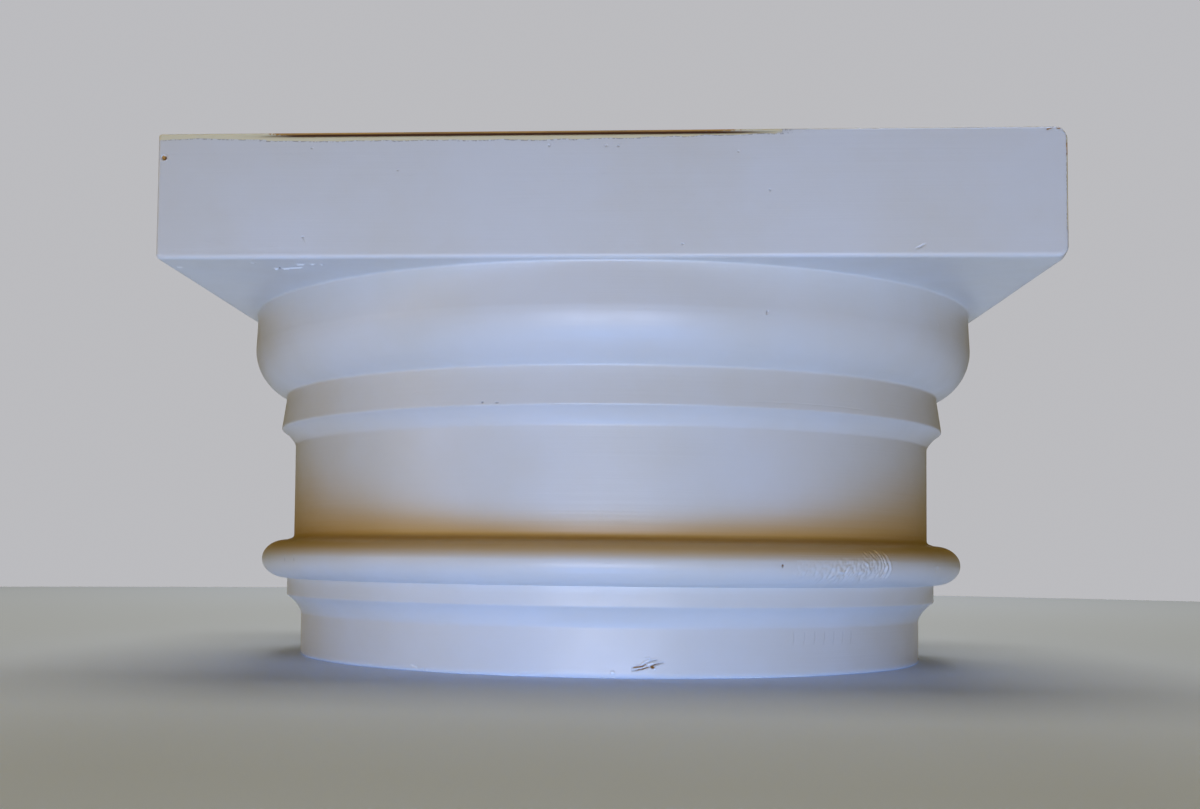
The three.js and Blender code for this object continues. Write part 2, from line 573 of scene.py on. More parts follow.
class Stroke(Mark):
    """A scratch, groove or ridge along a line of millimetres from a spot."""

    def __init__(self, spot, line, width, depth, **look):
        """The line is a list of (right, up) points, in millimetres from the spot."""
        super().__init__(spot, width, depth, **look)
        self.line = line

    def gap(self, right, up):
        """How far each place is from the surface that the mark changes, in millimetres."""
        return distance_to_line(right, up, self.line)[0] - STROKE_REACH * self.width

    def apply(self, right, up, finish, near):
        """Marks the nearby points by their distance from the line."""
        gap, along = distance_to_line(right, up, self.line)
        taper = np.clip(STROKE_TAPER * np.minimum(along, 1 - along) + STROKE_BLUNTNESS, 0, 1)
        half = self.width / 2
        groove = np.exp(-((gap / half) ** 2) * STROKE_STEEPNESS) * taper
        lip = np.exp(-(((gap - self.width) / half) ** 2) * STROKE_STEEPNESS) * taper
        self.leave(finish, near, groove, lip)


class Pit(Mark):
    """A small dent or raised speck, longer one way than the other."""

    def __init__(self, spot, wide, tall, depth, **look):
        """Its width and height on the surface, in millimetres."""
        super().__init__(spot, min(wide, tall), depth, **look)
        self.wide = wide
        self.tall = tall

    def gap(self, right, up):
        """How far each place is from the surface that the mark changes, in millimetres."""
        return np.hypot(right, up) - max(self.wide, self.tall)

    def apply(self, right, up, finish, near):
        """Marks the nearby points by their distance from the spot."""
        away = np.hypot(right / (self.wide / 2), up / (self.tall / 2))
        bowl = np.exp(-(away**4) * PIT_STEEPNESS)
        lip = np.exp(-(((away - PIT_LIP) / PIT_LIP_WIDTH) ** 2))
        self.leave(finish, near, bowl, lip)


class Finish:
    """What the finish adds at each point of the mesh: relief, and a mask for each colour of wear,
    grime, painted shade and painted highlight.
    """

    def __init__(self, mesh):
        """Reads the mesh's points and normals."""
        count = len(mesh.vertices)
        places = np.zeros(count * 3)
        normals = np.zeros(count * 3)
        mesh.vertices.foreach_get("co", places)
        mesh.vertex_normals.foreach_get("vector", normals)
        self.places = places.reshape(-1, 3)
        self.normals = normals.reshape(-1, 3)
        self.relief = np.zeros(count)
        self.bare = np.zeros(count)
        self.dark = np.zeros(count)
        self.grime_and_shade = np.zeros(count)
        self.primer = np.zeros(count)
        self.end = np.zeros(count)
        self.clean_paint_and_highlight = np.zeros(count)

    def stain(self, near, shape, bare, dark, clean_paint_and_highlight):
        """Raises each colour mask to its own strength times the mark's shape."""
        for mask, strength in ((self.bare, bare), (self.dark, dark), (self.clean_paint_and_highlight, clean_paint_and_highlight)):
            cover(mask, near, strength * shape)

    def add_mark(self, mark):
        """Adds one mark to the points near it that face the same way."""
        right, up, out = mark.spot.flatten(self.places)
        facing = self.normals @ np.array(mark.spot.out) > MARK_FACING
        near = np.nonzero((mark.gap(right, up) < 0) & (np.abs(out) < MARK_REACH) & facing)[0]
        if len(near) == 0:
            raise ValueError(f"a mark at {tuple(mark.spot.centre)} touches nothing")
        mark.apply(right[near], up[near], self, near)

    def store(self, mesh):
        """Moves the points by the relief and keeps the masks as attributes for the material."""
        moved = self.places + self.normals * self.relief[:, None]
        mesh.vertices.foreach_set("co", moved.ravel())
        for name in ("bare", "end", "dark", "grime_and_shade", "primer", "clean_paint_and_highlight"):
            attribute = mesh.attributes.new(name, "FLOAT", "POINT")
            attribute.data.foreach_set("value", getattr(self, name).astype(np.float32))
        mesh.update()


def gouge_marks(section):
    """The torn double gouge low on the band, just right of the middle, with a painted shadow along its
    grooves and a painted highlight on its ridges.
    """
    spot = turned_spot(section, 6.8, 4.7)
    upper_left = [(-5.1, -0.3), (-1.1, 0.2), (0.4, 1.2)]
    upper_right = [(0.4, 1.2), (2.2, 2.2), (5.1, 2.8)]
    lower = [(-5.1, -1.6), (-1.1, -0.8), (2.2, 0.2), (3.7, 0.8), (7.3, 1.7)]
    # The grooves are coloured dark: torn wood, and a painted shadow line where they run on thin to the
    # right. The raised ridges between them are coloured clean white: clean paint, and partly a painted
    # highlight.
    return [
        Stroke(spot, upper_left, 0.6, 0.3, bare=0.9, dark=0.55, burr=0.1),
        Stroke(spot, upper_right, 0.5, 0.25, dark=0.5, burr=0.06),
        Stroke(spot, lower, 0.65, 0.4, bare=0.8, dark=0.65, burr=0.1),
        Stroke(spot, [(-4.4, -0.95), (-1.0, -0.3), (0.8, 0.2)], 0.7, -0.4, clean_paint_and_highlight=1.0),
        Stroke(spot, [(-1.4, 1.1), (0.0, 2.0), (2.2, 3.0)], 0.6, -0.35, clean_paint_and_highlight=1.0),
        Stroke(spot, [(0.9, 1.0), (3.4, 1.6)], 0.7, -0.35, clean_paint_and_highlight=1.0),
        Stroke(spot, [(10.9, -3.1), (14.1, -2.3)], 0.4, -0.1),
        Stroke(spot, [(-0.4, 3.4), (2.0, 3.8)], 0.4, -0.1),
        Pit(turned_spot(section, 7.95, 4.5), 1.3, 0.9, 0.4, bare=1.0, dark=0.75, burr=0.25),
        Pit(turned_spot(section, 8.3, 4.0), 0.9, 0.7, -0.3, clean_paint_and_highlight=1.0),
        Pit(turned_spot(section, 7.45, 4.9), 0.9, 0.7, -0.3, clean_paint_and_highlight=1.0),
    ]


def foot_chips(section):
    """Chips along the rounded lower edge of the band."""
    return [
        Stroke(turned_spot(section, -30.9, 1.9), [(-1.8, 0.5), (1.4, -0.7)], 1.1, 0.35, clean_paint_and_highlight=0.6),
        Pit(turned_spot(section, -29.2, 0.8), 1.0, 0.8, 0.3, bare=0.3),
        Pit(turned_spot(section, -28.4, 0.8), 1.0, 0.8, 0.25, bare=0.3),
        Pit(turned_spot(section, 1.9, 2.3), 1.5, 1.1, -0.4, clean_paint_and_highlight=1.0),
        Pit(turned_spot(section, 18.0, 1.0), 1.4, 0.9, 0.2),
        Pit(turned_spot(section, -12.5, 0.9), 1.2, 0.8, 0.18),
    ]


def band_scuffs(section):
    """Faint upright rub marks high on the band, right of the middle."""
    line = [(-0.4, -3.0), (0.2, 0.0), (0.0, 2.4)]
    spots = [turned_spot(section, 31.5 + 2.1 * i, 16.0) for i in range(7)]
    return [Stroke(spot, line, 0.7, 0.09, dark=0.1) for spot in spots]


def slab_marks(section):
    """The nail hole, the flake, two corner chips and the small specks on the slab's front face."""
    flake = front_spot(section, 120.6, 4.0)
    nail = front_spot(section, -173.3, 40.4)
    left_chip = front_spot(section, 171.0, CORNER_CHIP)
    right_chip = front_spot(section, 172.0, CORNER_CHIP)
    specks = (
        (-114.2, 43.7), (-80.0, 34.7), (-117.1, 8.4), (30.8, 5.2), (64.0, 26.0), (52.0, 41.0),
        (-21.0, 43.9), (1.0, 43.8), (5.9, 43.6),
    )
    marks = [
        Pit(nail, 2.0, 1.7, 0.9, bare=1.0, burr=0.08),
        Pit(front_spot(section, -172.8, 40.4), 0.7, 1.2, 0.3, bare=1.0, dark=1.0),
        Stroke(flake, [(-1.4, -0.9), (0.2, -0.2), (1.6, 0.7)], 0.8, 0.28, dark=0.3, burr=0.05),
        Stroke(flake, [(-1.2, -0.2), (0.4, 0.6), (1.3, 1.2)], 0.7, -0.14, clean_paint_and_highlight=1.0),
        Stroke(left_chip, [(-3.2, -0.7), (-0.6, 0.2)], 0.7, 0.2, bare=0.9, dark=0.4),
        Stroke(right_chip, [(-0.8, 0.1), (0.9, -0.4)], 0.8, 0.2, bare=1.0, dark=0.3),
    ]
    marks += [Pit(front_spot(section, x, z), 0.9, 0.7, 0.16, dark=0.3) for x, z in specks]
    return marks


def soffit_marks(section):
    """The bright broken scratch under the slab's left side, and specks beside it."""
    spot = soffit_spot(section, -123.9, 17.0)
    return [
        Stroke(spot, [(-8.8, -2.4), (-7.4, -2.2)], 1.5, -0.8, clean_paint_and_highlight=1.0),
        Stroke(spot, [(-5.6, -2.6), (-2.3, -1.9)], 1.7, -0.65, clean_paint_and_highlight=1.0),
        Stroke(spot, [(-2.6, -1.4), (0.6, -0.9), (2.9, -0.5)], 1.2, -0.55, clean_paint_and_highlight=1.0),
        Stroke(spot, [(1.9, 5.7), (5.1, 6.2)], 1.3, -0.6, clean_paint_and_highlight=1.0),
        Stroke(spot, [(7.6, 5.6), (9.3, 5.9)], 1.1, -0.5, clean_paint_and_highlight=1.0),
        Pit(soffit_spot(section, -112.0, 12.1), 1.1, 2.6, -0.35, clean_paint_and_highlight=1.0),
        Pit(soffit_spot(section, -171.3, 17.0), 2.2, 3.0, -0.25, clean_paint_and_highlight=0.7),
        Pit(soffit_spot(section, -139.0, 8.7), 1.6, 2.4, -0.25, clean_paint_and_highlight=0.7),
        Pit(soffit_spot(section, -130.6, 19.4), 0.8, 2.4, 0.4, dark=0.8),
    ]


def turned_marks(section):
    """Pits and dents on the ovolo, the upper fillet and the bead."""
    return [
        Pit(turned_spot(section, 21.7, 144.2), 1.0, 1.6, 0.3, dark=0.4, burr=0.1),
        Pit(turned_spot(section, 21.3, 143.2), 0.8, 0.8, -0.15),
        Pit(turned_spot(section, 55.2, 149.6), 1.0, 1.8, -0.12),
        Pit(turned_spot(section, -17.3, 109.3), 1.0, 0.8, 0.25, dark=0.5),
        Pit(turned_spot(section, -15.1, 109.0), 1.6, 0.6, 0.2, dark=0.45),
        Pit(turned_spot(section, 24.9, 45.3), 0.9, 1.4, 0.35, bare=0.6, dark=0.8),
        Pit(turned_spot(section, 58.3, 44.1), 2.4, 2.2, 0.18, burr=0.05),
        Pit(turned_spot(section, -56.2, 45.4), 1.1, 1.6, 0.2, dark=0.2),
        Pit(turned_spot(section, -52.7, 45.4), 0.9, 1.4, 0.16, dark=0.2),
        Stroke(turned_spot(section, 31.0, 110.6), [(-42, 0.2), (0, 0.1), (46, 0.2)], 0.5, 0.07),
    ]


def bead_arcs(section):
    """The nested arcs of raised grain that end the rough stretch on the bead's right side."""
    spot = turned_spot(section, 43.25, 46.9)
    outer = [(1.2, 4.3), (1.5, 2.9), (1.9, 0.9), (2.6, -0.8), (3.0, -2.8), (2.3, -4.9), (1.0, -7.0)]
    return [
        Stroke(spot, outer, 1.3, 0.32, dark=0.12, burr=0.2),
        Stroke(spot, [(x - 2.4, z) for x, z in outer], 1.1, 0.18, burr=0.12),
        Stroke(spot, [(-3.8, 5.1), (-2.8, 4.1), (-2.2, 2.5)], 1.1, 0.3, dark=0.15, burr=0.18),
        Stroke(spot, [(-7.2, 4.4), (-6.7, 3.2), (-5.7, 1.6)], 1.1, 0.28, dark=0.12, burr=0.16),
        Stroke(spot, [(-11.0, 4.4), (-10.2, 3.0)], 1.1, 0.2, dark=0.08, burr=0.12),
        Stroke(spot, [(-13.0, -0.4), (-11.6, -1.6)], 1.1, 0.26, dark=0.12, burr=0.16),
        Stroke(spot, [(-1.6, -5.3), (-0.2, -3.3), (0.2, -1.4)], 1.0, 0.36, dark=0.2, burr=0.3),
        Stroke(spot, [(-1.0, -7.0), (0.6, -5.0)], 0.9, 0.24, burr=0.16),
        Stroke(spot, [(-5.0, -5.2), (-3.8, -3.4)], 1.0, 0.24, burr=0.2),
    ]


def noise_at(x, y, z):
    """Noise at each place, for coordinates that are arrays or single numbers."""
    return np.array([noise.noise(Vector(place)) for place in zip(*np.broadcast_arrays(x, y, z))])


def bead_texture(finish, section):
    """Raised grain on the bead: slanting ticks that grow to the right and end at the arcs."""
    angle = np.arctan2(finish.places[:, 0], -finish.places[:, 1])
    along = angle * section.bead / MM
    height = (finish.places[:, 2] - section.bead_foot) / MM - BEAD_MIDDLE
    outward = np.hypot(finish.places[:, 0], finish.places[:, 1]) > section.bead_centre
    on_bead = outward & (np.abs(height) < BEAD_MIDDLE) & (np.abs(along) < TEXTURE_REACH)
    near = np.nonzero(on_bead)[0]
    a, h = along[near], height[near]
    ticks = noise_at((a - 0.3 * h) * 0.78, h * 0.62, 3.1)
    lumps = noise_at(a * 0.3, h * 0.4, 7.7)
    back = ARCS_END - (a + 0.1 * (h - 1.2) ** 2)
    ripples = noise_at(back * 0.8, h * 0.16, 5.3)
    # Close to the arcs the ticks turn into ripples along them.
    by_arcs = np.exp(-((back / 9) ** 2))
    grain = (1 - by_arcs) * ticks + by_arcs * ripples
    # The grain is strong for 26 mm before its end and faint further left.
    before_end = np.clip(back, 0, 1)
    strong = before_end * np.exp(-np.maximum(back - 26, 0) / 9.0)
    faint = before_end * np.clip((a + 5) / 60, 0, 1) * 0.35
    lower_middle = np.exp(-(((h + 2.2 - 1.8 * by_arcs) / (4.0 + 1.5 * by_arcs)) ** 2))
    left_end = np.exp(-(((a + 178) / 24) ** 2)) * np.exp(-(((h - 1) / 5) ** 2))
    streaks = np.sin(a * 2.6 + 3 * lumps)
    finish.relief[near] += (
        TICK_DEPTH * np.maximum(strong, faint) * lower_middle * (1.2 * grain + 0.4 * lumps)
        + STREAK_DEPTH * left_end * streaks
    ) * MM


def hand_unevenness(finish, section, amount):
    """The slow wander of a hand-rubbed, many times painted surface; the two ends stay flat."""
    x, y, z = finish.places.T
    broad = noise_at(x * 14, y * 14, z * 22)
    fine = noise_at(x * 55 + 9, y * 55, z * 120)
    wander = broad + 0.35 * fine
    wander[(z < 0.5 * MM) | (z > section.top - 0.5 * MM)] = 0
    finish.relief += wander * amount


def settled_grime_and_painted_shade(finish, section):
    """Dust and smoke on ledges that face up and in the corner above the bead, with painted shade there
    too: the bead's shadow on the neck's foot, reaching higher where the neck turns away from the
    light, and shade on the bead's upper side.
    """
    height = finish.places[:, 2]
    radius = np.hypot(finish.places[:, 0], finish.places[:, 1])
    above = (height - section.neck_foot) / MM
    neck_height = (section.neck_head - section.neck_foot) / MM
    on_neck = (radius < section.neck + 1.5 * MM) & (above > -0.5) & (above < neck_height)
    away = np.minimum(1 + finish.places[on_neck, 1] / radius[on_neck], 0.5)
    reach = GRIME_AND_SHADE_REACH + GRIME_AND_SHADE_REACH_AWAY * away
    # Darker towards the bead and higher up at the sides: painted shade of the bead and of the light
    # falling off round the neck, with some grime.
    settled = np.exp(-((np.maximum(above[on_neck], 0) / reach) ** 1.5))
    finish.grime_and_shade[on_neck] = settled * fade(
        above[on_neck], neck_height, neck_height - GRIME_AND_SHADE_FREE_TOP
    )
    # The bead's upper side is darkened the more it faces up: dust, and painted shade where the light
    # from below does not reach.
    shelf = (height > section.bead_foot + 11 * MM) & (height < section.neck_foot) & ~on_neck
    finish.grime_and_shade[shelf] = np.clip(finish.normals[shelf, 2] * 1.5 - 0.2, 0, 1)


def bare_ends(finish, section):
    """Unpainted wood on the face that bears the beam and under the foot, inside a lap of paint."""
    x, y, z = finish.places.T
    inset = (section.half_slab - np.maximum(np.abs(x), np.abs(y))) / MM
    top = z > section.top - 0.05 * MM
    finish.end[top] = np.clip(inset[top] / 3.0 - 0.1, 0, 1)
    foot = (z < 0.05 * MM) & (finish.normals[:, 2] < -0.5)
    inside = (section.band - np.hypot(x, y)) / MM
    finish.end[foot] = np.clip(inside[foot] / 5.0 - 0.3, 0, 1)


def fade(value, start, end):
    """Rises smoothly from 0 at start to 1 at end; start may be the larger of the two."""
    t = np.clip((value - start) / (end - start), 0, 1)
    return t * t * (3 - 2 * t)


def worn_top_arris(finish, section):
    """The front face's upper arris: a crack, a painted highlight as clean paint on the right, bare
    wood and primer.
    """
    x, y, z = finish.places.T
    near = np.nonzero((y < -section.half_slab + 1.2 * MM) & (z > section.top - 5 * MM))[0]
    along, below = x[near] / MM, (section.top - z[near]) / MM
    first, last = CRACK_REACH
    cracked = fade(along, first - 10, first + 15) * fade(along, last, last - 35)
    crack = cracked * np.exp(-(((below - CRACK_BELOW_TOP) / (CRACK_WIDTH / 2)) ** 2))
    finish.relief[near] -= CRACK_DEPTH * MM * crack
    cover(finish.dark, near, np.minimum(1.7 * crack, 1.1))
    # A painted highlight: the arris on the right coloured as clean white paint.
    cover(finish.clean_paint_and_highlight, near, fade(below, 0.8, 0.4) * fade(along, *HIGHLIT_EDGE_FROM))
    strip = fade(below, BARE_STRIP + 0.3, BARE_STRIP - 0.1)
    bare = strip * fade(along, first - 10, first + 12) * fade(along, last, last - 50)
    cover(finish.bare, near, bare)
    wander = noise_at(along * 0.14, 2.2, 0.0)
    ends = fade(along, PRIMER_THIN_FROM, PRIMER_REACH) + 0.9 * fade(along, *PRIMER_THIN_LEFT)
    thickness = PRIMER_BELOW_TOP + 0.7 * wander - 1.3 * ends
    primer = fade(below, thickness + 0.45, thickness - 0.45)
    cover(finish.primer, near, primer * fade(along, PRIMER_REACH + 12, PRIMER_REACH))


def rubbed_and_highlit_side_arris(finish, section):
    """Old primer along the front face's right arris, partly a painted highlight on the edge, with bare
    wood near the worn corner.
    """
    x, y, z = finish.places.T
    inset = (section.half_slab - x) / MM
    near = np.nonzero((inset < 1.5) & (y < -section.half_slab + 4 * MM) & (z > section.soffit))[0]
    height = (z[near] - section.soffit) / MM
    strip = fade(inset[near], 0.9, 0.4)
    # A light primer strip up the right arris: old primer, and partly a painted highlight of the edge
    # catching light.
    cover(finish.primer, near, 0.8 * strip * fade(height, 6, 14))
    low, high = RUBBED
    cover(finish.bare, near, strip * fade(height, low, low + 2) * fade(height, high, high - 2))


class WornCorner:
    """One corner of the slab, knocked round as if cut by a stretched ball centred inside it."""

    def __init__(self, section, east, north, above, size_mm):
        """The signs say which corner it is; each edge is worn back by four fifths of its size."""
        outward = np.array([east, north, 1 if above else -1])
        height = section.top if above else section.soffit
        self.tip = np.array([east * section.half_slab, north * section.half_slab, height])
        self.outward = outward
        self.size = np.array(size_mm) * MM

    def wear(self, finish):
        """Pulls the points outside the ball back onto it."""
        centre = self.tip - self.outward * self.size
        offset = (finish.places - centre) * self.outward / self.size
        far = np.linalg.norm(offset, axis=1)
        cut = np.all(offset > 0, axis=1) & np.all(offset < 1.1, axis=1) & (far > WORN_BALL)
        pulled = offset[cut] * (WORN_BALL / far[cut])[:, None]
        finish.places[cut] = centre + pulled * self.outward * self.size


def worn_corners(section):
    """The slab's knocked corners: the right front ones most, the rest a little."""
    return [
        WornCorner(section, 1, -1, True, (5.2, 18.0, 6.8)),
        WornCorner(section, 1, -1, False, (5.0, 20.0, 5.4)),
        WornCorner(section, -1, -1, True, (2.4, 3.0, 2.0)),
        WornCorner(section, -1, -1, False, (12.0, 3.0, 3.4)),
        WornCorner(section, -1, 1, True, (4.0, 3.0, 3.0)),
        WornCorner(section, 1, 1, False, (3.0, 4.0, 3.0)),
    ]


def wanted_spacing(points, lengths, marks, worn, section):
    """The longest edge, in metres, that is fine enough where each edge's middle lies."""
    spacing = np.full(len(points), 1.0)
    degrees = np.degrees(np.arctan2(points[:, 0], -points[:, 1]))
    on_bead = (points[:, 2] > section.bead_foot) & (points[:, 2] < section.neck_foot - 2.5 * MM)
    outer = np.hypot(points[:, 0], points[:, 1]) > section.bead_centre
    first, last = FINE_BEAD_DEG
    grained = (degrees > first) & (degrees < last) & on_bead & outer
    spacing[grained] = FINE_BEAD_SPACING * MM
    for corner in worn:
        reach = corner.size * 0.75 + lengths[:, None] / 2
        spacing[np.all(np.abs(points - corner.tip) < reach, axis=1)] = WORN_SPACING * MM
    for mark in marks:
        right, up, out = mark.spot.flatten(points)
        slack = lengths / MM / 2
        marked = (mark.gap(right, up) < slack) & (np.abs(out) < MARK_REACH + slack)
        fine = min(MARK_SPACING, max(FINEST_SPACING, 0.4 * mark.width)) * MM
        spacing[marked] = np.minimum(spacing[marked], fine)
    return spacing


def refine(mesh, marks, worn, section):
    """Halves edges until none is longer than the spacing wanted at its middle."""
    work = bmesh.new()
    work.from_mesh(mesh)
    for _ in range(HALVINGS):
        edges = list(work.edges)
        ends = np.array([[*edge.verts[0].co, *edge.verts[1].co] for edge in edges])
        lengths = np.linalg.norm(ends[:, :3] - ends[:, 3:], axis=1)
        middles = (ends[:, :3] + ends[:, 3:]) / 2
        long = lengths > wanted_spacing(middles, lengths, marks, worn, section)
        if not long.any():
            break
        chosen = [edges[i] for i in np.nonzero(long)[0]]
        bmesh.ops.subdivide_edges(work, edges=chosen, cuts=1, use_grid_fill=True)
    work.to_mesh(mesh)
    work.free()


def node(tree, kind, values=None, **settings):
    """Adds one shader node, sets its own settings and the values of its sockets."""
    made = tree.nodes.new(kind)
    for name, value in settings.items():
        setattr(made, name, value)
    for socket, value in (values or {}).items():
        made.inputs[socket].default_value = value
    return made


def stretched_noise(tree, place, stretch, scale, detail):
    """Noise squeezed along chosen axes of the object, as a 0 to 1 value."""
    mapping = node(tree, "ShaderNodeMapping", {"Scale": stretch})
    texture = node(tree, "ShaderNodeTexNoise", {"Scale": scale, "Detail": detail, "Roughness": 0.55})
    tree.links.new(place, mapping.inputs["Vector"])
    tree.links.new(mapping.outputs["Vector"], texture.inputs["Vector"])
    return texture.outputs["Fac"]


def ranged(tree, value, low, high, to_low=0.0, to_high=1.0):
    """Maps a value from one range to another and clamps it."""
    made = node(
        tree, "ShaderNodeMapRange",
        {"From Min": low, "From Max": high, "To Min": to_low, "To Max": to_high},
    )
    tree.links.new(value, made.inputs["Value"])
    return made.outputs["Result"]


def combined(tree, operation, first, second):
    """One arithmetic step between two values, either of which may be a plain number."""
    made = node(tree, "ShaderNodeMath", operation=operation)
    for socket, value in zip(made.inputs, (first, second)):
        if isinstance(value, (int, float)):
            socket.default_value = value
        else:
            tree.links.new(value, socket)
    return made.outputs["Value"]


def blended(tree, factor, first, second):
    """Mixes two colours, either of which may be a plain colour."""
    made = node(tree, "ShaderNodeMix", data_type="RGBA")
    tree.links.new(factor, made.inputs["Factor"])
    for socket, value in ((made.inputs[6], first), (made.inputs[7], second)):
        if hasattr(value, "is_output"):
            tree.links.new(value, socket)
        else:
            socket.default_value = (*value, 1.0)
    return made.outputs[2]


def attribute(tree, name):
    """The value that the mesh keeps under a name."""
    return node(tree, "ShaderNodeAttribute", attribute_name=name).outputs["Fac"]


def painted_wood_material(colours):
    """Old satin oil paint on wood, with brush marks, grime and painted shade in the hollows, painted
    highlights and bare wood.
    """
    material = bpy.data.materials.new("painted_wood_finish")
    material.use_nodes = True
    tree = material.node_tree
    shader = tree.nodes["Principled BSDF"]
    place = node(tree, "ShaderNodeTexCoord").outputs["Object"]

    # Each noise: how it is squeezed along x, y and z, its waves to a metre, and its detail.
    clouds = stretched_noise(tree, place, (1, 1, 1), 16, 4)
    blotches = stretched_noise(tree, place, (1, 1, 1.6), 60, 3)
    brush = stretched_noise(tree, place, (9, 9, 620), 1.0, 4)
    peel = stretched_noise(tree, place, (1, 1, 1), 520, 2)
    speckle = stretched_noise(tree, place, (1, 1, 1), 900, 3)
    grain = stretched_noise(tree, place, (18, 420, 420), 1.0, 5)

    # Uneven paint, with grime and painted shade over it.
    paint = blended(tree, ranged(tree, clouds, 0.38, 0.68), colours.paint, colours.paint_warm)
    blotched = ranged(tree, blotches, 0.3, 0.75, 0.0, 0.10)
    tone = blended(tree, blotched, paint, [c * 0.9 for c in colours.paint_warm])
    brushed = ranged(tree, brush, 0.2, 0.8, 0.86, 1.0)
    dust_and_shade = combined(tree, "MULTIPLY", attribute(tree, "grime_and_shade"), brushed)
    dirty_and_shaded = blended(tree, dust_and_shade, tone, colours.grime_and_shade)

    # Wear and painted light: primer with a speckled rim, partly a painted highlight on the right
    # arris; bare wood; end wood; clean scratches, partly painted highlights; dark stains, partly
    # painted shadow in the gouge.
    streaks = ranged(tree, grain, 0.4, 0.72, 0.0, 0.6)
    wood = blended(tree, streaks, colours.wood, colours.wood_dark)
    end_wood = blended(tree, streaks, colours.end_wood, colours.wood_dark)
    speckled = ranged(tree, speckle, 0.25, 0.75, -0.3, 0.3)
    rubbed = combined(tree, "ADD", attribute(tree, "primer"), speckled)
    primed = blended(tree, ranged(tree, rubbed, 0.35, 0.6), dirty_and_shaded, colours.primer)
    near_primer = ranged(tree, attribute(tree, "primer"), 0.02, 0.2)
    rim = combined(tree, "MULTIPLY", near_primer, ranged(tree, rubbed, 0.62, 0.42))
    speckled_rim = combined(tree, "MULTIPLY", rim, ranged(tree, speckle, 0.45, 0.6, 0.0, 0.6))
    edged = blended(tree, speckled_rim, primed, colours.wood_dark)
    edge = combined(tree, "ADD", attribute(tree, "bare"), speckled)
    bare = ranged(tree, edge, 0.42, 0.56)
    chipped = blended(tree, bare, edged, wood)
    at_end = ranged(tree, combined(tree, "ADD", attribute(tree, "end"), speckled), 0.42, 0.56)
    ended = blended(tree, at_end, chipped, end_wood)
    cleaned_and_highlit = blended(tree, attribute(tree, "clean_paint_and_highlight"), ended, colours.clean_paint_and_highlight)
    stain = combined(tree, "MULTIPLY", attribute(tree, "dark"), 0.9)
    finish = blended(tree, stain, cleaned_and_highlit, colours.wood_dark)

    # A satin sheen, duller where the paint is gone, over brush marks and a slight peel.
    sheen = ranged(tree, blotches, 0.3, 0.7, 0.33, 0.44)
    unpainted = combined(tree, "MAXIMUM", combined(tree, "MAXIMUM", bare, at_end), stain)
    rough = combined(tree, "ADD", sheen, combined(tree, "MULTIPLY", unpainted, 0.4))
    shine = ranged(tree, unpainted, 0.0, 1.0, 0.6, 0.15)
    texture = combined(tree, "ADD", brush, combined(tree, "MULTIPLY", peel, 0.2))
    bump = node(tree, "ShaderNodeBump", {"Strength": 0.5, "Distance": BRUSH_DEPTH * MM})
    tree.links.new(texture, bump.inputs["Height"])

    tree.links.new(finish, shader.inputs["Base Color"])
    tree.links.new(rough, shader.inputs["Roughness"])
    tree.links.new(bump.outputs["Normal"], shader.inputs["Normal"])
    tree.links.new(shine, shader.inputs["Specular IOR Level"])
    shader.inputs["IOR"].default_value = 1.48
    return material


class CAPITAL_OT_build(bpy.types.Operator):
    """Builds the painted capital in place of its plain solid"""

    bl_idname = "capital.build"
    bl_label = "Build capital"

    def execute(self, context):
        """Turns the section, wears it, finishes it and puts it on its body."""
        sizes = context.scene.capital_sizes
        section = Section(sizes)
        mesh = ring_mesh(section)
        marks = (
            gouge_marks(section) + foot_chips(section) + band_scuffs(section) + slab_marks(section)
            + soffit_marks(section) + turned_marks(section) + bead_arcs(section)
        )
        worn = worn_corners(section)
        refine(mesh, marks, worn, section)
        finish = Finish(mesh)
        for corner in worn:
            corner.wear(finish)
        hand_unevenness(finish, section, sizes.unevenness)
        bead_texture(finish, section)
        for mark in marks:
            finish.add_mark(mark)
        settled_grime_and_painted_shade(finish, section)
        bare_ends(finish, section)
        worn_top_arris(finish, section)
        rubbed_and_highlit_side_arris(finish, section)
        finish.store(mesh)
        mesh.shade_smooth()
        mesh.materials.append(painted_wood_material(context.scene.capital_colours))
        piece = bpy.data.objects.new("capital_finish", mesh)
        context.scene.collection.objects.link(piece)
        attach(piece, BODY)
        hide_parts(NODE)
        return {"FINISHED"}


# The camera, measured from the photograph: image sizes and places are its pixels.
IMAGE_WIDTH = 1200
IMAGE_HEIGHT = 809
FOCAL_PIXELS = 1476.2
CENTRE_X_PIXELS = 523.0
CENTRE_Y_PIXELS = 472.5
SENSOR_WIDTH = 36.0
CAMERA_PLACE = (10.7, -739.7, 48.1)
CAMERA_YAW = -0.0715
CAMERA_PITCH = 0.0564
CAMERA_ROLL = 0.0115


